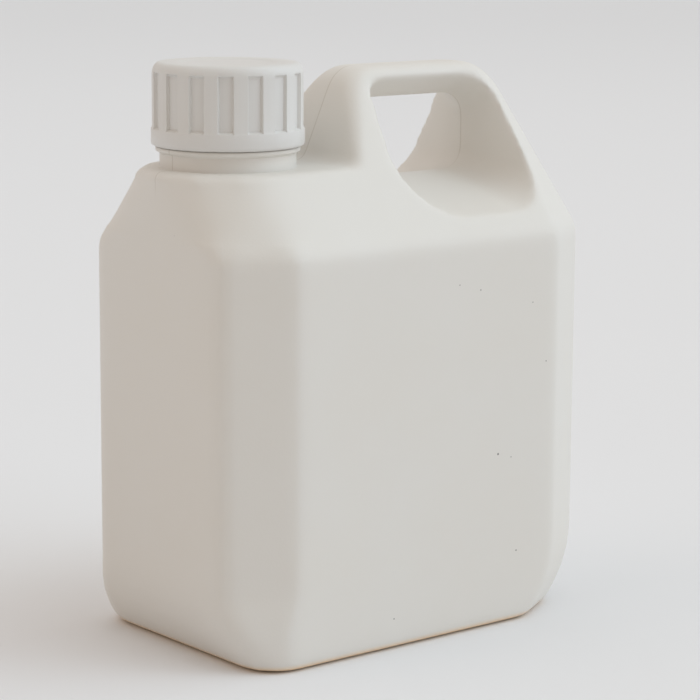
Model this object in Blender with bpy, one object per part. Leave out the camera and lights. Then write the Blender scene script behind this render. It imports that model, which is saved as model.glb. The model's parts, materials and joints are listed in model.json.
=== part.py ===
# A one-litre chemical storage bottle: a blow-moulded handled bottle, its ribbed screw cap and the
# sealing wad inside the cap. Metres, +Z up, origin under the middle of the body. The long axis is
# X with the handle at +X and the neck at -X, and the mould's parting plane is y = 0.

from math import atan2, ceil, cos, degrees, hypot, pi, radians, sin, tan

import bmesh
import bpy
import numpy as np
from mathutils import Matrix, Vector

# Body of the bottle
BODY_LENGTH = 0.1300
BODY_WIDTH = 0.0786
SHOULDER_HEIGHT = 0.1114
CORNER_CUT_X = 0.0184
CORNER_CUT_Y = 0.0105
CORNER_RADIUS = 0.0060
SHOULDER_RADIUS = 0.0070
SIDE_BASE_RADIUS = 0.0028
END_BASE_RADIUS = 0.0040
HANDLE_END_TUCK_RUN = 0.0105
NECK_END_TUCK_RUN = 0.0083
END_TUCK_RISE = 0.0125
END_TUCK_RADIUS = 0.0280
WALL = 0.0011

# Foot of the neck end, whose corners are plain quarter rounds that grow into the cut corners
NECK_END_FOOT_RADIUS = 0.0105
NECK_END_FOOT_HEIGHT = 0.0200

# Push-up panel in the middle of the base
STANDING_RIM = 0.0090
PUSH_UP_SLOPE_RUN = 0.0040
PUSH_UP_RISE = 0.0014

# Roof-like shoulder, which runs straight on into the sides of the handle
HANDLE_HEIGHT = 0.1585
HANDLE_TOP_HALF_WIDTH = 0.0065
HANDLE_TOP_RADIUS = 0.0050
HANDLE_END_LEAN = 0.0165
HANDLE_BACK_RADIUS = 0.0130

# Flat round platform under the neck, cut into the roof where that is as wide as the platform
PLATFORM_RADIUS = 0.02447
PLATFORM_EDGE_RADIUS = 0.0013
PLATFORM_CORNER_EASE = 1.6
PLATFORM_SHARE = (BODY_WIDTH / 2 - PLATFORM_RADIUS) / (BODY_WIDTH / 2 - HANDLE_TOP_HALF_WIDTH)
PLATFORM_HEIGHT = SHOULDER_HEIGHT + (HANDLE_HEIGHT - SHOULDER_HEIGHT) * PLATFORM_SHARE

# Front of the handle, which leans back from the platform
HANDLE_FRONT_RUN = 0.0503
HANDLE_FRONT_X = HANDLE_FRONT_RUN - BODY_LENGTH / 2
HANDLE_FRONT_LEAN = 0.45
HANDLE_FRONT_RADIUS = 0.0100
HANDLE_CORNER_RADIUS = 0.0022
HANDLE_CORNER_TOP_RADIUS = 0.0045
HANDLE_FOOT_RADIUS = 0.0018

# Finger window through the handle, narrowest on the parting plane: sides, then how far each side
# moves out for each metre away from that plane, and the radii of its corners in the same way
FRONT_POST = 0.0177
BACK_POST = 0.0211
GRIP_THICKNESS = 0.0100
SILL_DROP = 0.0057
WINDOW_LEFT, WINDOW_LEFT_SPLAY = HANDLE_FRONT_X + FRONT_POST, 0.20
WINDOW_RIGHT, WINDOW_RIGHT_SPLAY = BODY_LENGTH / 2 - BACK_POST, 0.14
WINDOW_BOTTOM, WINDOW_BOTTOM_SPLAY = PLATFORM_HEIGHT - SILL_DROP, 0.26
WINDOW_TOP, WINDOW_TOP_SPLAY = HANDLE_HEIGHT - GRIP_THICKNESS, 0.72
TOP_LEFT_RADIUS, TOP_LEFT_GROWTH = 0.0040, 0.20
TOP_RIGHT_RADIUS, TOP_RIGHT_GROWTH = 0.0065, 0.45
BOTTOM_RIGHT_RADIUS, BOTTOM_RIGHT_GROWTH = 0.0060, 0.20
BOTTOM_LEFT_RADIUS, BOTTOM_LEFT_GROWTH = 0.0050, 0.45
WINDOW_CUTTER_OVERRUN = 0.0060

# Neck
NECK_RADIUS = 0.0186
NECK_STRAIGHT = 0.0042
BEAD_RADIUS = 0.0197
BEAD_HEIGHT = 0.0013
FINISH_RADIUS = 0.0174
BORE_RADIUS = 0.0154
NECK_WALL = 0.0014

# Thread of the neck, and of the cap that runs on it
THREAD_PITCH = 0.0042
THREAD_TURNS = 1.6
THREAD_DEPTH = 0.0011
THREAD_BASE = 0.0019
THREAD_CREST = 0.0009
THREAD_DROP = 0.0016
THREAD_CLEARANCE = 0.0003
THREAD_FADE_TURNS = 0.16

# Cap
CAP_HEIGHT = 0.0225
CAP_BAND_RADIUS = 0.0209
CAP_BAND_HEIGHT = 0.0048
CAP_BAND_CHAMFER = 0.0009
CAP_BAND_WALL = 0.0014
CAP_RIB_RADIUS = 0.0206
CAP_GROOVES = 16
CAP_GROOVE_DEPTH = 0.0007
CAP_GROOVE_ANGLE = 11.0
CAP_GROOVE_FLANK_ANGLE = 1.0
CAP_GROOVE_PHASE = 6.8
CAP_GROOVE_LEDGE = 0.0002
CAP_SHOULDER_RISE = 0.0035
CAP_SHOULDER_RUN = 0.0022
CAP_TOP_WALL = 0.0016
CAP_CEILING_FILLET = 0.0006
CAP_RECESS_RADIUS = 0.0132
CAP_RECESS_DEPTH = 0.0003
CAP_RECESS_SLOPE_RUN = 0.0008

# Sealing wad, a foam disc held in the top of the cap
WAD_THICKNESS = 0.0012
WAD_SIDE_GAP = 0.0006

# Gap kept between pieces that rest on each other
SEAT_GAP = 0.0003

# Fineness of round shapes
ARC_STEP = 15.0
ROUND_SEGMENTS = 48
THREAD_SEGMENTS = 28
CORNER_STEPS = 2
FILLET_ANGLES = (0.0, 30.0, 60.0, 90.0)
RING_SPACING = 0.0003
WELD_DISTANCE = 1e-6
SMOOTH_ANGLE = 30.0


def clear_scene():
    for old in list(bpy.data.objects):
        bpy.data.objects.remove(old)


def plastic(name, colour, roughness):
    """A Principled material of one colour."""
    material = bpy.data.materials.new(name)
    material.use_nodes = True
    shader = material.node_tree.nodes["Principled BSDF"]
    shader.inputs["Base Color"].default_value = (*colour, 1.0)
    shader.inputs["Roughness"].default_value = roughness
    shader.inputs["Metallic"].default_value = 0.0
    return material


def mix(a, b, share):
    return a + (b - a) * share


# Outlines seen from the side: open runs of (out, up, radius) corners, from the middle of the base
# outwards, up, and back in to the middle of the top. The solid lies on their inner side.


def inset(corners, depth):
    """The same run of corners, moved square to itself by depth towards the solid."""
    lines = []
    for (x0, z0, _), (x1, z1, _) in zip(corners, corners[1:]):
        length = hypot(x1 - x0, z1 - z0)
        normal = Vector(((z0 - z1) / length, (x1 - x0) / length))
        lines.append((Vector((x0, z0)) + normal * depth, Vector((x1 - x0, z1 - z0)) / length))
    moved = [(*lines[0][0], 0.0)]
    for (start, along), (after, next_along), corner in zip(lines, lines[1:], corners[1:]):
        turn = along.cross(next_along)
        reach = (after - start).cross(next_along) / turn
        point = start + along * reach
        radius = corner[2] - depth if turn > 0 else corner[2] + depth
        moved.append((*point, max(radius, depth)))
    last_start, last_along = lines[-1]
    last_length = hypot(corners[-1][0] - corners[-2][0], corners[-1][1] - corners[-2][1])
    moved.append((*(last_start + last_along * last_length), 0.0))
    return moved


def rounded(corners):
    """Points along a run of corners, with each inner corner turned into an arc."""
    points = []
    for before, corner, after in zip(corners, corners[1:], corners[2:]):
        here = Vector(corner[:2])
        back = (Vector(before[:2]) - here).normalized()
        ahead = (Vector(after[:2]) - here).normalized()
        turn = pi - back.angle(ahead)
        radius = corner[2]
        centre = here + (back + ahead).normalized() * radius / cos(turn / 2)
        first = here + back * radius * tan(turn / 2) - centre
        side = 1 if back.cross(ahead) < 0 else -1
        steps = max(1, ceil(degrees(turn) / ARC_STEP))
        for step in range(steps + 1):
            angle = side * turn * step / steps
            point = centre + Matrix.Rotation(angle, 2) @ first
            points.append(tuple(point))
    return points


def side_corners():
    """Half the body's section across its width: long side, roof-like shoulder and handle top."""
    half = BODY_WIDTH / 2
    return [
        (0.0, 0.0, 0.0),
        (half, 0.0, SIDE_BASE_RADIUS),
        (half, SHOULDER_HEIGHT, SHOULDER_RADIUS),
        (HANDLE_TOP_HALF_WIDTH, HANDLE_HEIGHT, HANDLE_TOP_RADIUS),
        (0.0, HANDLE_HEIGHT, 0.0),
    ]


def back_corners():
    """The end under the handle: tucked-in base, upright end, and the back of the handle."""
    half = BODY_LENGTH / 2
    return [
        (0.0, 0.0, 0.0),
        (half - HANDLE_END_TUCK_RUN, 0.0, END_BASE_RADIUS),
        (half, END_TUCK_RISE, END_TUCK_RADIUS),
        (half, SHOULDER_HEIGHT, SHOULDER_RADIUS),
        (half - HANDLE_END_LEAN, HANDLE_HEIGHT, HANDLE_BACK_RADIUS),
        (0.0, HANDLE_HEIGHT, 0.0),
    ]


def front_corners():
    """The end under the neck, which is upright as far as the platform."""
    half = BODY_LENGTH / 2
    return [
        (0.0, 0.0, 0.0),
        (half - NECK_END_TUCK_RUN, 0.0, END_BASE_RADIUS),
        (half, END_TUCK_RISE, END_TUCK_RADIUS),
        (half, PLATFORM_HEIGHT, 0.0),
        (0.0, PLATFORM_HEIGHT, 0.0),
    ]


def handle_front_corners():
    """The leaning front of the handle, measured towards -X."""
    foot = -HANDLE_FRONT_X
    lean = HANDLE_FRONT_LEAN * (HANDLE_HEIGHT - PLATFORM_HEIGHT)
    return [
        (foot + HANDLE_FRONT_LEAN * PLATFORM_HEIGHT, 0.0, 0.0),
        (foot - lean, HANDLE_HEIGHT, HANDLE_FRONT_RADIUS),
        (foot - lean - BODY_LENGTH / 2, HANDLE_HEIGHT, 0.0),
    ]


def levels_of(*outlines):
    """The heights of the outlines' points, without those that nearly repeat one."""
    kept = []
    for level in sorted(up for outline in outlines for _, up in outline):
        if not kept or level - kept[-1] > RING_SPACING:
            kept.append(level)
    return kept


def reach_at(points, height):
    """How far out an outline reaches at a height."""
    heights = [up for _, up in points]
    reaches = [out for out, _ in points]
    return float(np.interp(height, heights, reaches))


# Sections seen from above: convex rings with a cut and rounded corner at each end of each side.
# A corner is (cut along X, cut along Y, radius).

CUT_NORMAL = atan2(CORNER_CUT_X, CORNER_CUT_Y)
SIDE_TURN = pi / 2 - CUT_NORMAL
END_TURN = CUT_NORMAL


def quarter_round(radius):
    """The corner whose two arcs make one quarter circle."""
    return (radius * (1 - tan(SIDE_TURN / 2)), radius * (1 - tan(END_TURN / 2)), radius)


def mixed_corner(first, second, share):
    return tuple(mix(a, b, share) for a, b in zip(first, second))


def inset_corner(corner, depth):
    cut_x, cut_y, radius = corner
    return (
        cut_x - depth * (1 - tan(SIDE_TURN / 2)),
        cut_y - depth * (1 - tan(END_TURN / 2)),
        radius - depth,
    )


def corner_points(end, side, corner, shrink=0.0):
    """Points round one corner in the first quadrant, from the side (Y) to the end (X)."""
    cut_x, cut_y, radius = corner
    side_centre = Vector((end - cut_x - radius * tan(SIDE_TURN / 2), side - radius))
    end_centre = Vector((end - radius, side - cut_y - radius * tan(END_TURN / 2)))
    round_radius = radius - shrink
    points = []
    for centre, start, turn in (
        (side_centre, pi / 2, SIDE_TURN),
        (end_centre, pi / 2 - SIDE_TURN, END_TURN),
    ):
        for step in range(CORNER_STEPS + 1):
            angle = start - turn * step / CORNER_STEPS
            points.append(centre + Vector((cos(angle), sin(angle))) * round_radius)
    return points


def ring(height, left, right, half_width, left_corner, right_corner, joint, edge=0.0):
    """A closed ring at one height. joint holds two points of X where the platform's edge gives way
    to the handle's side, and edge is how far the ring left of them is drawn in."""
    near_left = [(-p.x, p.y) for p in corner_points(left, half_width, left_corner, edge)]
    near_right = [(p.x, p.y) for p in corner_points(right, half_width, right_corner)]
    half = near_left[::-1] + [(joint[0], half_width - edge), (joint[1], half_width)] + near_right
    near = [(x, -y, height) for x, y in half]
    far = [(x, y, height) for x, y in reversed(half)]
    return near + far


def loft(name, rings):
    """A closed solid, extruded from ring to ring."""
    mesh = bmesh.new()
    face = mesh.faces.new([mesh.verts.new(point) for point in rings[0]])
    for index, points in enumerate(rings[1:]):
        grown = bmesh.ops.extrude_face_region(mesh, geom=[face])
        if index:
            bmesh.ops.delete(mesh, geom=[face], context="FACES_ONLY")
        face = next(item for item in grown["geom"] if isinstance(item, bmesh.types.BMFace))
        for vertex, point in zip(face.verts, points):
            vertex.co = point
    bmesh.ops.remove_doubles(mesh, verts=mesh.verts, dist=WELD_DISTANCE)
    bmesh.ops.dissolve_degenerate(mesh, edges=mesh.edges, dist=WELD_DISTANCE / 10)
    bmesh.ops.recalc_face_normals(mesh, faces=mesh.faces)
    return object_from(name, mesh)


def object_from(name, mesh):
    data = bpy.data.meshes.new(name)
    mesh.to_mesh(data)
    mesh.free()
    made = bpy.data.objects.new(name, data)
    bpy.context.scene.collection.objects.link(made)
    return made


def as_cutter(obj):
    obj.hide_render = True
    obj.display_type = "WIRE"
    return obj


def combine(target, operation, other):
    """Joins other to target, or cuts it away, and leaves other as a hidden guide."""
    step = target.modifiers.new(f"{operation.lower()} {other.name}", "BOOLEAN")
    step.operation = operation
    step.object = as_cutter(other)


def neck_x():
    """The neck stands at the centre of the platform's round end."""
    return PLATFORM_RADIUS - BODY_LENGTH / 2


def body_rings(depth):
    """Rings of the bottle's outside, or of a surface at a depth below it."""
    side = rounded(inset(side_corners(), depth) if depth else side_corners())
    back = rounded(inset(back_corners(), depth) if depth else back_corners())
    front = rounded(inset(front_corners(), depth) if depth else front_corners())
    handle_corners = inset(handle_front_corners(), depth) if depth else handle_front_corners()
    handle_front = [handle_corners[0][:2]] + rounded(handle_corners)
    platform = PLATFORM_HEIGHT - depth
    cut_corner = (CORNER_CUT_X, CORNER_CUT_Y, CORNER_RADIUS)
    platform_corner = quarter_round(PLATFORM_RADIUS)
    top_corner = quarter_round(HANDLE_TOP_HALF_WIDTH - HANDLE_TOP_RADIUS / 2)
    foot_corner = quarter_round(NECK_END_FOOT_RADIUS)

    def right_corner(height):
        share = max(0.0, (height - SHOULDER_HEIGHT) / (HANDLE_HEIGHT - SHOULDER_HEIGHT))
        return inset_corner(mixed_corner(cut_corner, top_corner, share), depth)

    def left_corner(height):
        if height < SHOULDER_HEIGHT:
            share = max(0.0, 1 - height / NECK_END_FOOT_HEIGHT)
            return inset_corner(mixed_corner(cut_corner, foot_corner, share), depth)
        share = min(1.0, (height - SHOULDER_HEIGHT) / (PLATFORM_HEIGHT - SHOULDER_HEIGHT))
        eased = 1 - (1 - share) ** PLATFORM_CORNER_EASE
        return inset_corner(mixed_corner(cut_corner, platform_corner, eased), depth)

    def front_corner(height, half_width):
        share = max(0.0, (height - PLATFORM_HEIGHT) / (HANDLE_HEIGHT - PLATFORM_HEIGHT))
        radius = mix(HANDLE_CORNER_RADIUS, HANDLE_CORNER_TOP_RADIUS, share)
        return quarter_round(min(radius, half_width))

    foot = -reach_at(handle_front, platform)
    joint = (foot - HANDLE_CORNER_RADIUS, foot + 2 * HANDLE_CORNER_RADIUS)
    edge_radius = PLATFORM_EDGE_RADIUS - depth
    edge_steps = [sin(radians(angle)) for angle in FILLET_ANGLES] if edge_radius > 0 else [1.0]
    edge_levels = [platform - max(edge_radius, 0.0) * (1 - step) for step in edge_steps]

    rings = []
    below = [level for level in levels_of(side, back, front) if level < edge_levels[0] - RING_SPACING]
    for height in below + edge_levels:
        rise = max(0.0, height - edge_levels[0])
        edge = edge_radius - (max(edge_radius**2 - rise**2, 0.0)) ** 0.5 if rise > 0 else 0.0
        rings.append(
            ring(
                height,
                reach_at(front, height),
                reach_at(back, height),
                reach_at(side, height),
                left_corner(height),
                right_corner(height),
                joint,
                edge,
            )
        )

    foot_radius = HANDLE_FOOT_RADIUS + depth
    foot_levels = [platform + foot_radius * (1 - cos(radians(angle))) for angle in FILLET_ANGLES]
    above = levels_of(side, back, handle_front)
    for height in foot_levels + [level for level in above if level > foot_levels[-1] + RING_SPACING]:
        short = max(0.0, foot_radius - (height - platform))
        flare = foot_radius - (foot_radius**2 - short**2) ** 0.5
        left = reach_at(handle_front, height) + flare
        half_width = reach_at(side, height)
        corner = front_corner(height, half_width)
        corner_end = -left + corner[2]
        rings.append(
            ring(
                height,
                left,
                reach_at(back, height),
                half_width,
                inset_corner(corner, min(depth, corner[2] / 2)),
                right_corner(height),
                (corner_end + HANDLE_CORNER_RADIUS / 4, corner_end + HANDLE_CORNER_RADIUS),
            )
        )
    return rings


def base_rings(depth):
    """Rings of the push-up, from its raised panel out to the standing rim."""
    first = body_rings(depth)[0]
    drawn = []
    for run, rise in (
        (STANDING_RIM + PUSH_UP_SLOPE_RUN, PUSH_UP_RISE),
        (STANDING_RIM, 0.0),
    ):
        half_length = max(x for x, _, _ in first)
        half_width = max(y for _, y, _ in first)
        scale_x = (half_length - run) / half_length
        scale_y = (half_width - run) / half_width
        drawn.append([(x * scale_x, y * scale_y, z + rise) for x, y, z in first])
    return drawn


def window_rings(growth):
    """Rings of the cutter for the finger window, from one side of the bottle to the other."""
    reach = BODY_WIDTH / 2 + WINDOW_CUTTER_OVERRUN
    rings = []
    for offset in (-reach, 0.0, reach):
        out = abs(offset)
        left = WINDOW_LEFT - WINDOW_LEFT_SPLAY * out - growth * hypot(1, WINDOW_LEFT_SPLAY)
        right = WINDOW_RIGHT + WINDOW_RIGHT_SPLAY * out + growth * hypot(1, WINDOW_RIGHT_SPLAY)
        bottom = WINDOW_BOTTOM - WINDOW_BOTTOM_SPLAY * out - growth * hypot(1, WINDOW_BOTTOM_SPLAY)
        top = WINDOW_TOP + WINDOW_TOP_SPLAY * out + growth * hypot(1, WINDOW_TOP_SPLAY)
        corners = (
            (left, bottom, 1, 1, BOTTOM_LEFT_RADIUS + BOTTOM_LEFT_GROWTH * out + growth, pi),
            (right, bottom, -1, 1, BOTTOM_RIGHT_RADIUS + BOTTOM_RIGHT_GROWTH * out + growth, 1.5 * pi),
            (right, top, -1, -1, TOP_RIGHT_RADIUS + TOP_RIGHT_GROWTH * out + growth, 0.0),
            (left, top, 1, -1, TOP_LEFT_RADIUS + TOP_LEFT_GROWTH * out + growth, 0.5 * pi),
        )
        points = []
        for x, z, inward_x, inward_z, radius, start in corners:
            steps = ceil(90 / ARC_STEP)
            for step in range(steps + 1):
                angle = start + pi / 2 * step / steps
                across = x + inward_x * radius + radius * cos(angle)
                up = z + inward_z * radius + radius * sin(angle)
                points.append((across, offset, up))
        rings.append(points)
    return rings


def turned(name, outline, axis_x, segments=ROUND_SEGMENTS):
    """A solid turned about an upright axis from (radius, height) points, bottom to top, that start
    and end on the axis."""
    rings = []
    for radius, height in outline:
        rings.append(
            [
                (
                    axis_x + radius * cos(2 * pi * step / segments),
                    radius * sin(2 * pi * step / segments),
                    height,
                )
                for step in range(segments)
            ]
        )
    return loft(name, rings)


def thread_ridge(name, axis_x, root, crest, start_height, phase):
    """A helical ridge that stands from root to crest, with its ends faded into the wall."""
    steps = round(THREAD_TURNS * THREAD_SEGMENTS)
    sink = (root - crest) * 0.5
    fade = THREAD_SEGMENTS * THREAD_FADE_TURNS
    rings = []
    for step in range(steps + 1):
        angle = phase + 2 * pi * step / THREAD_SEGMENTS
        height = start_height + THREAD_PITCH * step / THREAD_SEGMENTS
        strength = min(1.0, (step + 0.5) / fade, (steps - step + 0.5) / fade)
        top = mix(root, crest, strength)
        section = (
            (root + sink, -THREAD_BASE / 2),
            (top, -THREAD_CREST / 2),
            (top, THREAD_CREST / 2),
            (root + sink, THREAD_BASE / 2),
        )
        rings.append(
            [(axis_x + r * cos(angle), r * sin(angle), height + up) for r, up in section]
        )
    return loft(name, rings)


def heights():
    """Levels of the neck, the wad and the cap, stacked up from the platform."""
    bead_bottom = PLATFORM_HEIGHT + NECK_STRAIGHT
    bead_top = bead_bottom + BEAD_HEIGHT
    cap_bottom = bead_top + SEAT_GAP
    cap_top = cap_bottom + CAP_HEIGHT
    cap_ceiling = cap_top - CAP_RECESS_DEPTH - CAP_TOP_WALL
    wad_top = cap_ceiling - SEAT_GAP
    wad_bottom = wad_top - WAD_THICKNESS
    rim = wad_bottom - SEAT_GAP
    return {
        "bead_bottom": bead_bottom,
        "bead_top": bead_top,
        "cap_bottom": cap_bottom,
        "cap_top": cap_top,
        "cap_ceiling": cap_ceiling,
        "wad_top": wad_top,
        "wad_bottom": wad_bottom,
        "rim": rim,
        "thread_start": rim - THREAD_DROP - THREAD_TURNS * THREAD_PITCH,
    }


def build_bottle(material):
    at = heights()
    axis_x = neck_x()
    bottle = loft("bottle", base_rings(0.0) + body_rings(0.0))
    bottle.data.materials.append(material)
    combine(bottle, "DIFFERENCE", loft("window_cutter", window_rings(0.0)))

    neck_outline = [
        (NECK_RADIUS, PLATFORM_HEIGHT - WALL / 2),
        (NECK_RADIUS, at["bead_bottom"] - (BEAD_RADIUS - NECK_RADIUS) / 2),
        (BEAD_RADIUS, at["bead_bottom"] + (BEAD_RADIUS - NECK_RADIUS) / 2),
        (BEAD_RADIUS, at["bead_top"] - BEAD_HEIGHT / 4),
        (BEAD_RADIUS - BEAD_HEIGHT / 4, at["bead_top"]),
        (FINISH_RADIUS, at["bead_top"]),
        (FINISH_RADIUS, at["rim"] - THREAD_DEPTH / 4),
        (FINISH_RADIUS - THREAD_DEPTH / 4, at["rim"]),
    ]
    combine(bottle, "UNION", turned("neck_blank", neck_outline, axis_x))
    crest = FINISH_RADIUS + THREAD_DEPTH
    ridge = thread_ridge("neck_thread", axis_x, FINISH_RADIUS, crest, at["thread_start"], 0.0)
    combine(bottle, "UNION", ridge)

    cavity = loft("cavity", base_rings(WALL) + body_rings(WALL))
    combine(cavity, "DIFFERENCE", loft("window_wall", window_rings(WALL)))
    throat = NECK_RADIUS - NECK_WALL
    bore_outline = [
        (throat, PLATFORM_HEIGHT - 2 * WALL),
        (throat, at["bead_bottom"]),
        (BORE_RADIUS, at["bead_bottom"] + (throat - BORE_RADIUS)),
        (BORE_RADIUS, at["rim"] + THREAD_DEPTH),
    ]
    combine(cavity, "UNION", turned("bore", bore_outline, axis_x))
    combine(bottle, "DIFFERENCE", cavity)
    return bottle


def cap_ring(radius, height, grooved):
    """One ring of the cap's outside. Where it is grooved, it steps in at each groove."""
    groove = min(radius, CAP_RIB_RADIUS - CAP_GROOVE_DEPTH) if grooved else radius
    pitch = 360 / CAP_GROOVES
    flat = CAP_GROOVE_ANGLE / 2
    flank = flat + CAP_GROOVE_FLANK_ANGLE
    steps = ((-flank, radius), (-flat, groove), (flat, groove), (flank, radius), (pitch / 2, radius))
    points = []
    for index in range(CAP_GROOVES):
        for offset, reach in steps:
            angle = radians(CAP_GROOVE_PHASE + index * pitch + offset)
            points.append((reach * cos(angle), reach * sin(angle), height))
    return points


def build_cap(material):
    """The cap is built about its own axis, at its own height, and then placed on the neck."""
    at = heights()
    bottom, top = 0.0, at["cap_top"] - at["cap_bottom"]
    ceiling = at["cap_ceiling"] - at["cap_bottom"]
    shoulder = top - CAP_SHOULDER_RISE
    ledge = bottom + CAP_BAND_HEIGHT
    rings = [
        cap_ring(CAP_BAND_RADIUS - CAP_BAND_CHAMFER, bottom, False),
        cap_ring(CAP_BAND_RADIUS, bottom + CAP_BAND_CHAMFER, False),
        cap_ring(CAP_BAND_RADIUS, ledge, False),
        cap_ring(CAP_RIB_RADIUS, ledge + CAP_GROOVE_LEDGE, True),
        cap_ring(CAP_RIB_RADIUS, shoulder - CAP_GROOVE_LEDGE, True),
    ]
    for angle in FILLET_ANGLES:
        radius = CAP_RIB_RADIUS - CAP_SHOULDER_RUN * (1 - cos(radians(angle)))
        rings.append(cap_ring(radius, shoulder + CAP_SHOULDER_RISE * sin(radians(angle)), False))
    rings.append(cap_ring(CAP_RECESS_RADIUS, top, False))
    recess_floor = CAP_RECESS_RADIUS - CAP_RECESS_SLOPE_RUN
    rings.append(cap_ring(recess_floor, top - CAP_RECESS_DEPTH, False))
    cap = loft("screw_cap", rings)
    cap.data.materials.append(material)
    root = FINISH_RADIUS + THREAD_DEPTH + THREAD_CLEARANCE
    mouth = CAP_BAND_RADIUS - CAP_BAND_WALL
    hollow_outline = [
        (mouth, bottom - CAP_BAND_CHAMFER),
        (mouth, bottom + CAP_BAND_CHAMFER / 2),
        (root, bottom + CAP_BAND_CHAMFER / 2 + (mouth - root)),
        (root, ceiling - CAP_CEILING_FILLET),
        (root - CAP_CEILING_FILLET, ceiling),
    ]
    combine(cap, "DIFFERENCE", turned("cap_hollow", hollow_outline, 0.0))
    crest = FINISH_RADIUS + THREAD_CLEARANCE
    start = at["thread_start"] - at["cap_bottom"] - THREAD_PITCH / 2
    ridge = thread_ridge("cap_thread", 0.0, root, crest, start, 0.0)
    combine(cap, "UNION", ridge)
    for piece in (cap, *(step.object for step in cap.modifiers)):
        piece.location = (neck_x(), 0.0, at["cap_bottom"])
    return cap


def build_wad(material):
    at = heights()
    radius = FINISH_RADIUS + THREAD_DEPTH + THREAD_CLEARANCE - WAD_SIDE_GAP
    outline = [(radius, 0.0), (radius, at["wad_top"] - at["wad_bottom"])]
    wad = turned("sealing_wad", outline, 0.0)
    wad.data.materials.append(material)
    wad.location = (neck_x(), 0.0, at["wad_bottom"])
    return wad


def shade(obj):
    obj.data.shade_smooth()
    obj.data.set_sharp_from_angle(angle=radians(SMOOTH_ANGLE))


clear_scene()
shade(build_bottle(plastic("bottle_plastic", (0.63, 0.60, 0.55), 0.45)))
shade(build_cap(plastic("cap_plastic", (0.66, 0.64, 0.61), 0.40)))
shade(build_wad(plastic("wad_foam", (0.80, 0.80, 0.78), 0.90)))
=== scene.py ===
import json
from math import cos, hypot, pi, radians, sin

import bmesh
import bpy
from mathutils import Matrix, Vector


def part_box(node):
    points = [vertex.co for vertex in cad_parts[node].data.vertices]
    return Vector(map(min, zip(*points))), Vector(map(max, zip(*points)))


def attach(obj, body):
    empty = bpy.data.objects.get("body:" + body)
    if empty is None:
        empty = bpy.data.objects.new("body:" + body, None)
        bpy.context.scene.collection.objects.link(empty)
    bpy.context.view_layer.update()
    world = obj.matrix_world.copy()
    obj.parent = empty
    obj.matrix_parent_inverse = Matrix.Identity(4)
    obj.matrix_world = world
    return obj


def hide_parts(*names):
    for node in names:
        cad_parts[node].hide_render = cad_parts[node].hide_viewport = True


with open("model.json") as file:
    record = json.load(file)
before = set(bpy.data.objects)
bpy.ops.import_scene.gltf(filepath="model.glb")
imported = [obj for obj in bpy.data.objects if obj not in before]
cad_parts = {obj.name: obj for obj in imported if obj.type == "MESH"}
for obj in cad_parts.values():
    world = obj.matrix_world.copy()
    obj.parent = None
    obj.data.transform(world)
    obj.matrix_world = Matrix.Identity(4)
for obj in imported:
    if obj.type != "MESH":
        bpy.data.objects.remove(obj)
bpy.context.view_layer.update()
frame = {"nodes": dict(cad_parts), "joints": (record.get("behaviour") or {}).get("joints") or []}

bl_info = {
    "name": "Chemical storage bottle",
    "version": (1, 0, 0),
    "blender": (4, 5, 0),
    "location": "3D View > Sidebar > Bottle",
    "description": "A one-litre handled bottle with its ribbed screw cap, on a pale studio floor",
    "category": "Object",
}

# Neck of the bottle. Its axis comes from the frame's cap joint.
NECK_AXIS = Vector(next(joint["pos_m"] for joint in frame["joints"] if joint["name"] == "cap_turn"))
PLATFORM_HEIGHT = 0.1327
NECK_RADIUS = 0.0186
BEAD_BOTTOM = 0.1369
BEAD_TOP = 0.1384
BEAD_RADIUS = 0.0197
BEAD_EDGE = 0.0003
FINISH_RADIUS = 0.0174
NECK_STEPS = 160
NECK_SINK = 0.0020
RIM_TOLERANCE = 1e-5

# The rounded part of the shoulder, between the cut corners and the platform's edge
CONE_BOTTOM = 0.1155
CONE_TOP = 0.1306
CONE_END_X = -0.0200

# Thread of the neck and of the cap
THREAD_PITCH = 0.0042
THREAD_TURNS = 1.6
THREAD_DEPTH = 0.0011
THREAD_BASE = 0.0019
THREAD_CREST = 0.0009
THREAD_DROP = 0.0016
THREAD_CLEARANCE = 0.0003
THREAD_STEPS_PER_TURN = 48

# Cap
CAP_BOTTOM, CAP_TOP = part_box("screw_cap")[0].z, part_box("screw_cap")[1].z
CAP_BAND_RADIUS = 0.0209
CAP_BAND_HEIGHT = 0.0048
CAP_BAND_WALL = 0.0014
CAP_RIB_RADIUS = 0.0206
CAP_GROOVES = 16
CAP_GROOVE_HALF_ANGLE = 5.5
CAP_GROOVE_PHASE = 6.8
GROOVE_FLOOR_EDGE = 0.35
GROOVE_FLANK_WIDTH = 0.95
CAP_SHOULDER_RISE = 0.0035
CAP_SHOULDER_RUN = 0.0022
CAP_TOP_WALL = 0.0019
CAP_RECESS_RADIUS = 0.0132
CAP_RECESS_DEPTH = 0.0003

# The neck's rim, just under the sealing wad, and the lower end of the neck's thread
RIM_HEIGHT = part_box("sealing_wad")[0].z - 0.0003
THREAD_START = RIM_HEIGHT - THREAD_DROP - THREAD_TURNS * THREAD_PITCH

# Camera, as solved from the photograph
CAMERA_AZIMUTH = -39.397
CAMERA_ELEVATION = 10.419
CAMERA_ROLL = 0.339
CAMERA_DISTANCE = 0.73707
CAMERA_SIDE_STEP = 0.002157
CAMERA_AIM_HEIGHT = 0.077217
CAMERA_LENS = 132.62
CAMERA_SENSOR = 36.0
FLOOR_REACH = 12.0
FLOOR_DROP = 0.00004

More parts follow.
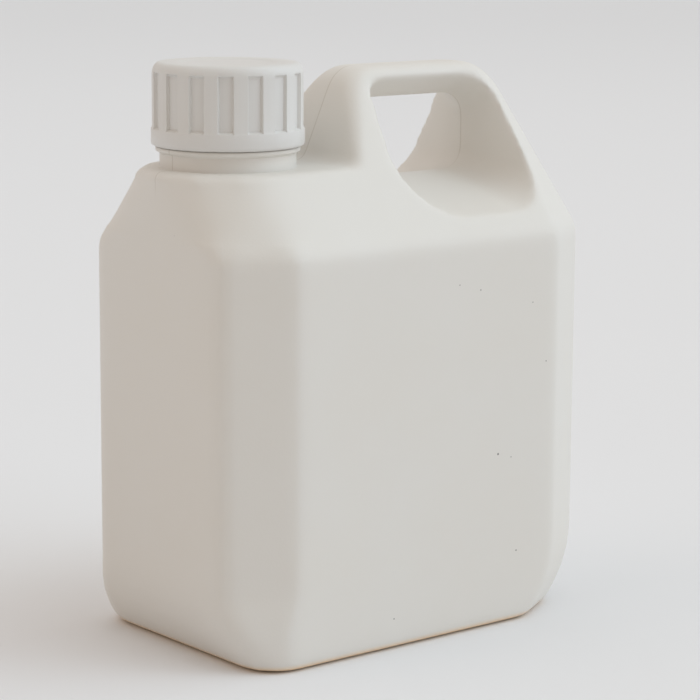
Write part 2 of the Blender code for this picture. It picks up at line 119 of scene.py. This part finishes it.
# Soft suns: azimuth that the light comes from (0 is -Y, 90 is +X), elevation, spread, strength and
# colour. Most of the light comes from the right, as from a row of windows.
LAMPS = {
    "window_near": (30.0, 45.0, 50.0, 0.478, (0.72, 0.88, 1.0)),
    "window_far": (60.0, 45.0, 50.0, 0.513, (0.72, 0.90, 1.0)),
    "sill_near": (30.0, 12.0, 50.0, 0.326, (0.66, 0.81, 1.0)),
    "sill_far": (80.0, 12.0, 50.0, 0.249, (0.79, 0.93, 1.0)),
    "ceiling": (0.0, 90.0, 80.0, 0.304, (0.75, 0.94, 1.0)),
    "room": (-115.0, 45.0, 50.0, 0.185, (1.0, 0.82, 0.68)),
}

# The light all round is dimmer towards the camera: where the dim patch is, and how far it reaches
DIM_AZIMUTH = -39.0
DIM_ELEVATION = 10.0
DIM_FULL = 15.0
DIM_GONE = 55.0

# Colours of the handle's parting line, of the painted warm glow at the foot (painted light standing in for light
# coming through the plastic near the floor) and of the specks
PARTING_COLOUR = (0.36, 0.30, 0.22, 1.0)
PAINTED_FOOT_GLOW_COLOUR = (0.92, 0.70, 0.47, 1.0)
SPECK_COLOUR = (0.06, 0.05, 0.04, 1.0)

# Small dark specks in the plastic: a place on the surface, and a radius
SPECKS = (
    ((0.0095, -0.0393, 0.1000), 0.00022),
    ((0.0173, -0.0393, 0.0979), 0.00026),
    ((0.0372, -0.0393, 0.0925), 0.00022),
    ((0.0428, -0.0393, 0.0750), 0.00024),
    ((0.0463, -0.0393, 0.0591), 0.00026),
    ((0.0248, -0.0393, 0.0503), 0.00042),
    ((0.0298, -0.0393, 0.0488), 0.00022),
    ((0.0324, -0.0393, 0.0211), 0.00030),
    ((-0.0132, -0.0393, 0.0090), 0.00028),
    ((-0.0560, -0.0346, 0.0400), 0.00024),
    ((-0.0648, -0.0089, 0.1165), 0.00022),
)


# Materials


def add_node(tree, kind, settings=None, inputs=None):
    """A shader node, with its settings set and its inputs set or linked."""
    made = tree.nodes.new(kind)
    for key, value in (settings or {}).items():
        setattr(made, key, value)
    for key, value in (inputs or {}).items():
        if isinstance(value, bpy.types.NodeSocket):
            tree.links.new(value, made.inputs[key])
        else:
            made.inputs[key].default_value = value
    return made


def math_node(tree, operation, *values):
    return add_node(
        tree, "ShaderNodeMath", {"operation": operation}, dict(enumerate(values))
    ).outputs[0]


def fade_node(tree, value, full, gone):
    """1 up to full, falling smoothly to 0 at gone."""
    return add_node(
        tree,
        "ShaderNodeMapRange",
        {"interpolation_type": "SMOOTHSTEP"},
        {"Value": value, "From Min": full, "From Max": gone, "To Min": 1.0, "To Max": 0.0},
    ).outputs["Result"]


def range_node(tree, value, low, high):
    """A value from 0 to 1 taken to low up to high."""
    return add_node(
        tree, "ShaderNodeMapRange", None, {"Value": value, "To Min": low, "To Max": high}
    ).outputs["Result"]


def noise_node(tree, point, scale, detail=2.0, roughness=0.5):
    return add_node(
        tree,
        "ShaderNodeTexNoise",
        None,
        {"Vector": point, "Scale": scale, "Detail": detail, "Roughness": roughness},
    ).outputs["Fac"]


def mix_colour(tree, share, first, second):
    return add_node(
        tree,
        "ShaderNodeMix",
        {"data_type": "RGBA"},
        {"Factor": share, 6: first, 7: second},
    ).outputs[2]


def bump_node(tree, height, distance, strength, below=None):
    inputs = {"Height": height, "Distance": distance, "Strength": strength}
    if below is not None:
        inputs["Normal"] = below
    return add_node(tree, "ShaderNodeBump", None, inputs).outputs["Normal"]


def start_material(name):
    """A fresh material: its tree, its Principled shader and Object coordinates."""
    material = bpy.data.materials.new(name)
    material.use_nodes = True
    tree = material.node_tree
    point = add_node(tree, "ShaderNodeTexCoord").outputs["Object"]
    return material, tree, tree.nodes["Principled BSDF"], point


def bottle_plastic(looks):
    """Blow-moulded polyethylene: faint clouding, fine skin, slow waves, parting line, specks, and a painted warm
    glow at the foot for light coming through the plastic.
    """
    material, tree, shader, point = start_material("bottle_polyethylene")
    place = add_node(tree, "ShaderNodeSeparateXYZ", None, {"Vector": point}).outputs
    cloud = noise_node(tree, point, 26.0, 3.0)
    warm = (*[channel * tint for channel, tint in zip(looks.colour, (0.985, 0.965, 0.935))], 1.0)
    colour = mix_colour(tree, cloud, (*looks.colour, 1.0), warm)

    line_wobble = math_node(tree, "MULTIPLY", noise_node(tree, point, 60.0), 0.0002)
    from_line = math_node(tree, "ABSOLUTE", math_node(tree, "ADD", place["Y"], line_wobble))
    line = fade_node(tree, from_line, 0.00008, 0.00034)
    on_handle = fade_node(tree, place["Z"], 0.1340, 0.1240)
    line_share = math_node(tree, "MULTIPLY", math_node(tree, "MULTIPLY", line, on_handle), 0.26)
    colour = mix_colour(tree, line_share, colour, PARTING_COLOUR)

    # Painted light: a warm glow at the foot, next to the floor, standing in for light that comes through the
    # plastic
    painted_foot_glow = fade_node(tree, place["Z"], 0.0004, 0.0026)
    colour = mix_colour(tree, painted_foot_glow, colour, PAINTED_FOOT_GLOW_COLOUR)

    dots = None
    for spot, radius in SPECKS:
        away = add_node(
            tree, "ShaderNodeVectorMath", {"operation": "DISTANCE"}, {0: point, 1: spot}
        ).outputs["Value"]
        dot = fade_node(tree, away, radius * 0.55, radius)
        dots = dot if dots is None else math_node(tree, "MAXIMUM", dots, dot)
    speck_share = math_node(tree, "MULTIPLY", dots, looks.speck_strength)
    colour = mix_colour(tree, speck_share, colour, SPECK_COLOUR)
    tree.links.new(colour, shader.inputs["Base Color"])

    gloss = noise_node(tree, point, 140.0, 3.0)
    roughness = range_node(tree, gloss, looks.roughness - 0.05, looks.roughness + 0.05)
    tree.links.new(roughness, shader.inputs["Roughness"])
    waves = bump_node(tree, noise_node(tree, point, 38.0, 1.0), 0.0010, 0.16)
    skin = bump_node(tree, noise_node(tree, point, 1500.0, 3.0, 0.6), 0.00006, 0.35, waves)
    ridge = bump_node(tree, line_share, 0.0002, 0.5, skin)
    tree.links.new(ridge, shader.inputs["Normal"])
    return material


def cap_plastic(looks):
    """Injection-moulded polyethylene: a little greyer and glossier, with faint turning marks on top."""
    material, tree, shader, point = start_material("cap_polyethylene")
    cloud = noise_node(tree, point, 70.0, 3.0)
    worn = (*[channel * tint for channel, tint in zip(looks.colour, (0.975, 0.962, 0.945))], 1.0)
    tree.links.new(mix_colour(tree, cloud, (*looks.colour, 1.0), worn), shader.inputs["Base Color"])
    gloss = noise_node(tree, point, 260.0, 3.0)
    roughness = range_node(tree, gloss, looks.roughness - 0.05, looks.roughness + 0.06)
    tree.links.new(roughness, shader.inputs["Roughness"])
    from_axis = add_node(
        tree, "ShaderNodeMapping", None, {"Vector": point, "Location": (-NECK_AXIS.x, 0.0, 0.0)}
    ).outputs["Vector"]
    rings = add_node(
        tree,
        "ShaderNodeTexWave",
        {"wave_type": "RINGS", "rings_direction": "Z"},
        {"Vector": from_axis, "Scale": 420.0, "Distortion": 1.5, "Detail": 1.0},
    ).outputs["Fac"]
    turned = bump_node(tree, rings, 0.00002, 0.10)
    skin = bump_node(tree, noise_node(tree, point, 1300.0, 3.0, 0.6), 0.00005, 0.30, turned)
    tree.links.new(skin, shader.inputs["Normal"])
    return material


def wad_foam():
    """Closed-cell foam with fine pores."""
    material, tree, shader, point = start_material("wad_closed_cell_foam")
    cells = add_node(
        tree, "ShaderNodeTexVoronoi", None, {"Vector": point, "Scale": 2200.0}
    ).outputs["Distance"]
    colour = mix_colour(tree, cells, (0.66, 0.66, 0.63, 1.0), (0.84, 0.84, 0.82, 1.0))
    tree.links.new(colour, shader.inputs["Base Color"])
    tree.links.new(bump_node(tree, cells, 0.0001, 0.5), shader.inputs["Normal"])
    shader.inputs["Roughness"].default_value = 0.85
    return material


# Mesh helpers


def object_from(name, mesh):
    """A new object from a bmesh, at the origin."""
    data = bpy.data.meshes.new(name)
    mesh.to_mesh(data)
    mesh.free()
    made = bpy.data.objects.new(name, data)
    bpy.context.scene.collection.objects.link(made)
    return made


def take_result(target):
    """Makes the result of the target's modifiers its own mesh."""
    bpy.context.view_layer.update()
    result = target.evaluated_get(bpy.context.evaluated_depsgraph_get())
    mesh = bmesh.new()
    mesh.from_mesh(result.to_mesh())
    result.to_mesh_clear()
    target.modifiers.clear()
    mesh.to_mesh(target.data)
    mesh.free()


def combine(target, operation, other):
    """Joins other to target, or cuts it away, and removes other."""
    step = target.modifiers.new(operation.lower(), "BOOLEAN")
    step.operation = operation
    step.object = other
    take_result(target)
    bpy.data.objects.remove(other)


def shade(target, sharp_angle):
    target.data.shade_smooth()
    target.data.set_sharp_from_angle(angle=radians(sharp_angle))


def island(start):
    """All the faces that can be reached from start across shared edges."""
    found, waiting = {start}, [start]
    while waiting:
        for edge in waiting.pop().edges:
            for face in edge.link_faces:
                if face not in found:
                    found.add(face)
                    waiting.append(face)
    return found


def from_neck_axis(point):
    return hypot(point.x - NECK_AXIS.x, point.y)


def turned_solid(name, outline, steps):
    """A closed solid spun about the neck's axis from (radius, height) points."""
    mesh = bmesh.new()
    points = [mesh.verts.new((NECK_AXIS.x + radius, 0.0, height)) for radius, height in outline]
    edges = [mesh.edges.new(pair) for pair in zip(points, points[1:])]
    bmesh.ops.spin(
        mesh,
        geom=points + edges,
        cent=NECK_AXIS,
        axis=(0.0, 0.0, 1.0),
        angle=2 * pi,
        steps=steps,
        use_merge=True,
    )
    bmesh.ops.remove_doubles(mesh, verts=mesh.verts, dist=1e-6)
    bmesh.ops.recalc_face_normals(mesh, faces=mesh.faces)
    return object_from(name, mesh)


def thread_ridge(name, root, crest, start_height):
    """A helical ridge about the neck's axis, swept from its trapezoid section and faded at its ends."""
    mesh = bmesh.new()
    sink = (root - crest) * 0.5
    section = (
        (root + sink, -THREAD_BASE / 2),
        (crest, -THREAD_CREST / 2),
        (crest, THREAD_CREST / 2),
        (root + sink, THREAD_BASE / 2),
    )
    face = mesh.faces.new(
        [mesh.verts.new((NECK_AXIS.x + radius, 0.0, start_height + up)) for radius, up in section]
    )
    steps = round(THREAD_TURNS * THREAD_STEPS_PER_TURN)
    bmesh.ops.spin(
        mesh,
        geom=[face, *face.verts, *face.edges],
        cent=NECK_AXIS,
        axis=(0.0, 0.0, 1.0),
        dvec=(0.0, 0.0, THREAD_PITCH / THREAD_STEPS_PER_TURN),
        angle=2 * pi * THREAD_TURNS,
        steps=steps,
    )
    fade = THREAD_PITCH * 0.16
    rise = THREAD_PITCH * THREAD_TURNS
    for vertex in mesh.verts:
        radius = from_neck_axis(vertex.co)
        if abs(radius - crest) > abs(crest - root) / 4:
            continue
        along = vertex.co.z - start_height
        share = max(0.05, min(1.0, along / fade, (rise - along) / fade))
        wanted = root + (crest - root) * share
        vertex.co.x = NECK_AXIS.x + (vertex.co.x - NECK_AXIS.x) * wanted / radius
        vertex.co.y *= wanted / radius
    bmesh.ops.recalc_face_normals(mesh, faces=mesh.faces)
    return object_from(name, mesh)


# Bottle


def bottle_skins():
    """The outside of the bottle without its neck, closed, and its inside as a solid to cut away.
    Both come from a copy of the frame's bottle, split where the neck's rim joins them."""
    mesh = bmesh.new()
    mesh.from_mesh(frame["nodes"]["bottle"].data)
    bmesh.ops.remove_doubles(mesh, verts=mesh.verts, dist=2e-6)
    neck_top = [
        face
        for face in mesh.faces
        if all(v.co.z > RIM_HEIGHT - RIM_TOLERANCE and from_neck_axis(v.co) < BEAD_RADIUS for v in face.verts)
    ]
    bmesh.ops.delete(mesh, geom=neck_top, context="FACES")
    outside = island(min(mesh.faces, key=lambda face: face.calc_center_median().z))
    inside = mesh.copy()
    mesh.faces.ensure_lookup_table()
    inside.faces.ensure_lookup_table()
    kept = {face.index for face in outside}
    bmesh.ops.delete(inside, geom=[f for f in inside.faces if f.index in kept], context="FACES")
    bmesh.ops.delete(mesh, geom=[f for f in mesh.faces if f.index not in kept], context="FACES")

    for vertex in inside.verts:
        if vertex.co.z > RIM_HEIGHT - RIM_TOLERANCE and from_neck_axis(vertex.co) < BEAD_RADIUS:
            vertex.co.z += 0.001
    bmesh.ops.holes_fill(inside, edges=[edge for edge in inside.edges if edge.is_boundary])
    bmesh.ops.recalc_face_normals(inside, faces=inside.faces)

    neck = [
        face
        for face in mesh.faces
        if any(
            v.co.z > PLATFORM_HEIGHT + 1e-4 and from_neck_axis(v.co) < BEAD_RADIUS + 0.0004
            for v in face.verts
        )
    ]
    bmesh.ops.delete(mesh, geom=neck, context="FACES")
    bmesh.ops.holes_fill(mesh, edges=[edge for edge in mesh.edges if edge.is_boundary])
    bmesh.ops.recalc_face_normals(mesh, faces=mesh.faces)
    return object_from("bottle_shell", mesh), object_from("bottle_inside", inside)


def neck_solid():
    """The neck with its bead, finish and thread, sunk a little into the platform."""
    outline = [
        (0.0, PLATFORM_HEIGHT - NECK_SINK),
        (NECK_RADIUS, PLATFORM_HEIGHT - NECK_SINK),
        (NECK_RADIUS, BEAD_BOTTOM - 0.0004),
        (NECK_RADIUS + 0.0003, BEAD_BOTTOM),
        (BEAD_RADIUS - BEAD_EDGE, BEAD_BOTTOM + 0.0001),
        (BEAD_RADIUS, BEAD_BOTTOM + BEAD_EDGE + 0.0001),
        (BEAD_RADIUS, BEAD_TOP - BEAD_EDGE),
        (BEAD_RADIUS - BEAD_EDGE, BEAD_TOP),
        (FINISH_RADIUS, BEAD_TOP),
        (FINISH_RADIUS, RIM_HEIGHT - BEAD_EDGE),
        (FINISH_RADIUS - BEAD_EDGE, RIM_HEIGHT),
        (0.0, RIM_HEIGHT),
    ]
    neck = turned_solid("neck", outline, NECK_STEPS)
    crest = FINISH_RADIUS + THREAD_DEPTH
    combine(neck, "UNION", thread_ridge("neck_thread", FINISH_RADIUS, crest, THREAD_START))
    return neck


def smooth(mesh, verts, passes):
    for _ in range(passes):
        bmesh.ops.smooth_vert(
            mesh, verts=verts, factor=0.5, use_axis_x=True, use_axis_y=True, use_axis_z=True
        )


def build_bottle(settings):
    shell, inside = bottle_skins()
    melt = shell.modifiers.new("soften", "REMESH")
    melt.mode = "VOXEL"
    melt.voxel_size = settings.grain
    melt.adaptivity = 0.0
    take_result(shell)
    mesh = bmesh.new()
    mesh.from_mesh(shell.data)
    smooth(mesh, mesh.verts, settings.soft_passes)
    cone = [v for v in mesh.verts if CONE_BOTTOM < v.co.z < CONE_TOP and v.co.x < CONE_END_X]
    smooth(mesh, cone, settings.cone_passes)
    mesh.to_mesh(shell.data)
    mesh.free()
    combine(shell, "UNION", neck_solid())
    combine(shell, "DIFFERENCE", inside)
    shade(shell, 50.0)
    shell.data.materials.clear()
    shell.data.materials.append(bottle_plastic(settings))
    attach(shell, "bottle")
    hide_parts("bottle")
    return shell


# Cap


def groove_angles():
    """Angles round the cap, close together at each groove's flanks."""
    pitch = 360 / CAP_GROOVES
    half = CAP_GROOVE_HALF_ANGLE
    flank = (half - GROOVE_FLOOR_EDGE, half + 0.1, half + 0.6, half + 1.1)
    steps = [-away for away in reversed(flank)]
    steps += [-half / 2, 0.0, half / 2, *flank, pitch / 2 - 1.0, pitch / 2 + 1.0]
    return [
        (CAP_GROOVE_PHASE + index * pitch + offset, offset)
        for index in range(CAP_GROOVES)
        for offset in steps
    ]


def groove_share(offset):
    """How deep the groove is at this angle from its middle: 1 in the floor and 0 on the rib."""
    away = (abs(offset) - (CAP_GROOVE_HALF_ANGLE - GROOVE_FLOOR_EDGE)) / GROOVE_FLANK_WIDTH
    return 1.0 - min(1.0, max(0.0, away))


def build_cap(settings):
    angles = groove_angles()
    inner = CAP_BAND_RADIUS - CAP_BAND_WALL
    wall = FINISH_RADIUS + THREAD_DEPTH + THREAD_CLEARANCE
    ledge = CAP_BOTTOM + CAP_BAND_HEIGHT
    shoulder = CAP_TOP - CAP_SHOULDER_RISE
    ceiling = CAP_TOP - CAP_TOP_WALL
    depth = settings.groove_depth
    # (radius, height, groove depth), from the middle of the ceiling down, round and up to the top
    stations = [
        (0.004, ceiling, 0.0),
        (wall - 0.0006, ceiling, 0.0),
        (wall, ceiling - 0.0006, 0.0),
        (wall, CAP_BOTTOM + 0.0011, 0.0),
        (inner, CAP_BOTTOM + 0.0005, 0.0),
        (inner + 0.0002, CAP_BOTTOM + 0.0001, 0.0),
        (inner + 0.0004, CAP_BOTTOM, 0.0),
        (CAP_BAND_RADIUS - 0.0009, CAP_BOTTOM, 0.0),
        (CAP_BAND_RADIUS - 0.0004, CAP_BOTTOM + 0.0002, 0.0),
        (CAP_BAND_RADIUS - 0.0001, CAP_BOTTOM + 0.0005, 0.0),
        (CAP_BAND_RADIUS, CAP_BOTTOM + 0.0009, 0.0),
        (CAP_BAND_RADIUS, ledge - 0.0003, 0.0),
        (CAP_BAND_RADIUS - 0.00005, ledge - 0.00015, 0.02),
        (CAP_RIB_RADIUS, ledge + 0.0004, 1.0),
        (CAP_RIB_RADIUS, shoulder - 0.0001, 1.0),
        (CAP_RIB_RADIUS - 0.00002, shoulder + 0.0004, 1.0),
        (CAP_RIB_RADIUS - 0.00004, shoulder + 0.0007, 0.75),
        (CAP_RIB_RADIUS - 0.00009, shoulder + 0.0010, 0.1),
    ]
    for step in range(2, 9):
        turn = pi / 2 * step / 8
        radius = CAP_RIB_RADIUS - CAP_SHOULDER_RUN * (1 - cos(turn))
        stations.append((radius, shoulder + CAP_SHOULDER_RISE * sin(turn), 0.0))
    stations += [
        (CAP_RECESS_RADIUS + 0.0004, CAP_TOP, 0.0),
        (CAP_RECESS_RADIUS, CAP_TOP - CAP_RECESS_DEPTH * 0.15, 0.0),
        (CAP_RECESS_RADIUS - 0.0008, CAP_TOP - CAP_RECESS_DEPTH * 0.9, 0.0),
        (CAP_RECESS_RADIUS - 0.0012, CAP_TOP - CAP_RECESS_DEPTH, 0.0),
        (0.004, CAP_TOP - CAP_RECESS_DEPTH, 0.0),
    ]
    mesh = bmesh.new()
    bmesh.ops.create_circle(mesh, segments=len(angles), radius=stations[0][0], cap_ends=True)
    mesh.verts.ensure_lookup_table()
    loop = list(mesh.verts)
    edges = list(mesh.edges)
    for index, (radius, height, grooved) in enumerate(stations):
        if index:
            earlier = set(loop)
            grown = bmesh.ops.extrude_edge_only(mesh, edges=edges)["geom"]
            edges = [item for item in grown if isinstance(item, bmesh.types.BMEdge)]
            edges = [edge for edge in edges if edge.is_boundary]
            rim = {vertex for edge in edges for vertex in edge.verts}
            loop = [
                next(edge.other_vert(v) for edge in v.link_edges if edge.other_vert(v) in rim - earlier)
                for v in loop
            ]
        for vertex, (angle, offset) in zip(loop, angles):
            reach = radius - depth * grooved * groove_share(offset)
            vertex.co = (
                NECK_AXIS.x + reach * cos(radians(angle)),
                reach * sin(radians(angle)),
                height,
            )
    bmesh.ops.holes_fill(mesh, edges=[edge for edge in mesh.edges if edge.is_boundary])
    bmesh.ops.recalc_face_normals(mesh, faces=mesh.faces)
    cap = object_from("cap_shell", mesh)
    start = THREAD_START - THREAD_PITCH / 2
    crest = FINISH_RADIUS + THREAD_CLEARANCE
    combine(cap, "UNION", thread_ridge("cap_thread", wall, crest, start))
    shade(cap, 38.0)
    cap.data.materials.clear()
    cap.data.materials.append(cap_plastic(settings))
    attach(cap, "cap")
    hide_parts("screw_cap")
    return cap


# Stage


def direction(azimuth, elevation):
    """The direction towards an azimuth (0 is -Y, 90 is +X) and an elevation, in degrees."""
    turn, rise = radians(azimuth), radians(elevation)
    return Vector((sin(turn) * cos(rise), -cos(turn) * cos(rise), sin(rise)))


def camera_axes():
    """The level line across the view, and the camera's right, up and back, in the frame's axes."""
    turn, roll = radians(CAMERA_AZIMUTH), radians(CAMERA_ROLL)
    back = direction(CAMERA_AZIMUTH, CAMERA_ELEVATION)
    level = Vector((cos(turn), sin(turn), 0.0))
    up = back.cross(level)
    return level, cos(roll) * level + sin(roll) * up, cos(roll) * up - sin(roll) * level, back


def place_camera():
    level, right, up, back = camera_axes()
    camera = bpy.data.objects.new("camera", bpy.data.cameras.new("camera"))
    camera.data.lens = CAMERA_LENS
    camera.data.sensor_width = CAMERA_SENSOR
    camera.data.clip_start = 0.02
    camera.data.clip_end = 60.0
    turned = Matrix((right, up, back)).transposed().to_4x4()
    turned.translation = (
        level * CAMERA_SIDE_STEP + Vector((0.0, 0.0, CAMERA_AIM_HEIGHT)) + back * CAMERA_DISTANCE
    )
    camera.matrix_world = turned
    bpy.context.scene.collection.objects.link(camera)
    bpy.context.scene.camera = camera


def place_sun(name, azimuth, elevation, spread, strength, colour):
    lamp = bpy.data.lights.new(name, "SUN")
    lamp.energy = strength
    lamp.color = colour
    lamp.angle = radians(spread)
    sun = bpy.data.objects.new(name, lamp)
    sun.rotation_mode = "QUATERNION"
    sun.rotation_quaternion = direction(azimuth, elevation).to_track_quat("Z", "Y")
    bpy.context.scene.collection.objects.link(sun)


def light_all_round(looks):
    """The world's light, with a dim and warm patch towards the camera."""
    world = bpy.data.worlds.new("studio")
    world.use_nodes = True
    bpy.context.scene.world = world
    tree = world.node_tree
    towards = add_node(tree, "ShaderNodeTexCoord").outputs["Generated"]
    nearness = add_node(
        tree,
        "ShaderNodeVectorMath",
        {"operation": "DOT_PRODUCT"},
        {0: towards, 1: direction(DIM_AZIMUTH, DIM_ELEVATION)},
    ).outputs["Value"]
    patch = fade_node(tree, nearness, cos(radians(DIM_FULL)), cos(radians(DIM_GONE)))
    colour = mix_colour(tree, patch, (*looks.fill_colour, 1.0), (*looks.dim_colour, 1.0))
    sky = tree.nodes["Background"]
    tree.links.new(colour, sky.inputs["Color"])
    sky.inputs["Strength"].default_value = looks.light_strength


def floor_finish(colour):
    """Pale matte floor that keeps the bottle's shadow, with painted shade that makes it a little darker far
    behind the bottle.
    """
    material, tree, shader, point = start_material("studio_floor")
    mottle = noise_node(tree, point, 3.0, 2.0)
    paler = (*[min(1.0, channel * 1.01) for channel in colour], 1.0)
    base = mix_colour(tree, mottle, (*colour, 1.0), paler)
    away = add_node(
        tree, "ShaderNodeVectorMath", {"operation": "DOT_PRODUCT"}, {0: point, 1: -direction(CAMERA_AZIMUTH, 0.0)}
    ).outputs["Value"]
    # Painted shade: the floor's colour is darkened far behind the bottle, standing in for less light falling
    # there
    far = math_node(tree, "SUBTRACT", 1.0, fade_node(tree, away, 0.3, 3.6))
    darker = (*[channel * 0.90 for channel in colour], 1.0)
    base = mix_colour(tree, far, base, darker)
    tree.links.new(base, shader.inputs["Base Color"])
    shader.inputs["Roughness"].default_value = 0.9
    shader.inputs["Specular IOR Level"].default_value = 0.1
    return material


def build_stage(looks):
    place_camera()
    mesh = bmesh.new()
    bmesh.ops.create_grid(mesh, x_segments=1, y_segments=1, size=FLOOR_REACH)
    bmesh.ops.translate(mesh, verts=mesh.verts, vec=(0.0, 0.0, -FLOOR_DROP))
    floor = object_from("studio_floor", mesh)
    floor.data.materials.append(floor_finish(looks.floor_colour))
    for name, (azimuth, elevation, spread, strength, colour) in LAMPS.items():
        place_sun(name, azimuth, elevation, spread, strength * looks.light_strength, colour)
    light_all_round(looks)
    bpy.context.scene.view_settings.view_transform = "Standard"


# Settings, operators and panel


class BottleSettings(bpy.types.PropertyGroup):
    grain: bpy.props.FloatProperty(
        name="Grain", description="Size of the bottle's mesh", default=0.00105, min=0.0006, unit="LENGTH"
    )
    soft_passes: bpy.props.IntProperty(
        name="Softness", description="How often the bottle's edges are smoothed", default=5, min=0
    )
    cone_passes: bpy.props.IntProperty(
        name="Shoulder softness",
        description="How often the neck end's shoulder is smoothed",
        default=70,
        min=0,
    )
    colour: bpy.props.FloatVectorProperty(
        name="Colour", description="Colour of the bottle", default=(0.775, 0.758, 0.724), subtype="COLOR"
    )
    roughness: bpy.props.FloatProperty(
        name="Roughness", description="Roughness of the bottle", default=0.46, subtype="FACTOR"
    )
    speck_strength: bpy.props.FloatProperty(
        name="Specks", description="How dark the small specks are", default=0.75, subtype="FACTOR"
    )


class CapSettings(bpy.types.PropertyGroup):
    groove_depth: bpy.props.FloatProperty(
        name="Groove depth", description="Depth of the cap's grooves", default=0.0009, unit="LENGTH"
    )
    colour: bpy.props.FloatVectorProperty(
        name="Colour", description="Colour of the cap", default=(0.735, 0.728, 0.71), subtype="COLOR"
    )
    roughness: bpy.props.FloatProperty(
        name="Roughness", description="Roughness of the cap", default=0.42, subtype="FACTOR"
    )


class StageSettings(bpy.types.PropertyGroup):
    floor_colour: bpy.props.FloatVectorProperty(
        name="Floor", description="Colour of the floor", default=(0.806, 0.803, 0.811), subtype="COLOR"
    )
    light_strength: bpy.props.FloatProperty(
        name="Light", description="Strength of all the light together", default=1.0, min=0.0
    )
    fill_colour: bpy.props.FloatVectorProperty(
        name="Fill", description="Light from all round", default=(0.640, 0.589, 0.556), subtype="COLOR"
    )
    dim_colour: bpy.props.FloatVectorProperty(
        name="Dim fill",
        description="Light from behind the camera",
        default=(0.300, 0.215, 0.130),
        subtype="COLOR",
    )


class STORAGE_OT_stage(bpy.types.Operator):
    """Adds the camera, the floor and the lamps"""

    bl_idname = "storage_bottle.stage"
    bl_label = "Stage"

    def execute(self, context):
        build_stage(context.scene.storage_stage)
        return {"FINISHED"}


class STORAGE_OT_bottle(bpy.types.Operator):
    """Builds the bottle's shell over the frame's bottle"""

    bl_idname = "storage_bottle.bottle"
    bl_label = "Bottle"

    def execute(self, context):
        build_bottle(context.scene.storage_bottle)
        return {"FINISHED"}


class STORAGE_OT_cap(bpy.types.Operator):
    """Builds the ribbed screw cap"""

    bl_idname = "storage_bottle.cap"
    bl_label = "Screw cap"

    def execute(self, context):
        build_cap(context.scene.storage_cap)
        return {"FINISHED"}


class STORAGE_OT_wad(bpy.types.Operator):
    """Gives the sealing wad its foam"""

    bl_idname = "storage_bottle.wad"
    bl_label = "Sealing wad"

    def execute(self, context):
        wad = frame["nodes"]["sealing_wad"]
        wad.data.materials.clear()
        wad.data.materials.append(wad_foam())
        return {"FINISHED"}


class STORAGE_PT_panel(bpy.types.Panel):
    """Lists the pieces and their settings"""

    bl_label = "Chemical storage bottle"
    bl_idname = "STORAGE_PT_panel"
    bl_space_type = "VIEW_3D"
    bl_region_type = "UI"
    bl_category = "Bottle"

    def draw(self, context):
        for operator, group in OPERATORS:
            self.layout.operator(operator.bl_idname)
            if group:
                settings = getattr(context.scene, group)
                for name in settings.__annotations__:
                    self.layout.prop(settings, name)


OPERATORS = (
    (STORAGE_OT_stage, "storage_stage"),
    (STORAGE_OT_bottle, "storage_bottle"),
    (STORAGE_OT_cap, "storage_cap"),
    (STORAGE_OT_wad, None),
)
SETTINGS = {
    "storage_stage": StageSettings,
    "storage_bottle": BottleSettings,
    "storage_cap": CapSettings,
}
CLASSES = (*SETTINGS.values(), *(operator for operator, _ in OPERATORS), STORAGE_PT_panel)


def register():
    for item in CLASSES:
        bpy.utils.register_class(item)
    for name, group in SETTINGS.items():
        setattr(bpy.types.Scene, name, bpy.props.PointerProperty(type=group))


def unregister():
    for name in SETTINGS:
        delattr(bpy.types.Scene, name)
    for item in reversed(CLASSES):
        bpy.utils.unregister_class(item)


def main():
    register()
    bpy.ops.storage_bottle.stage()
    bpy.ops.storage_bottle.bottle()
    bpy.ops.storage_bottle.cap()
    bpy.ops.storage_bottle.wad()


if __name__ == "__main__":
    main()
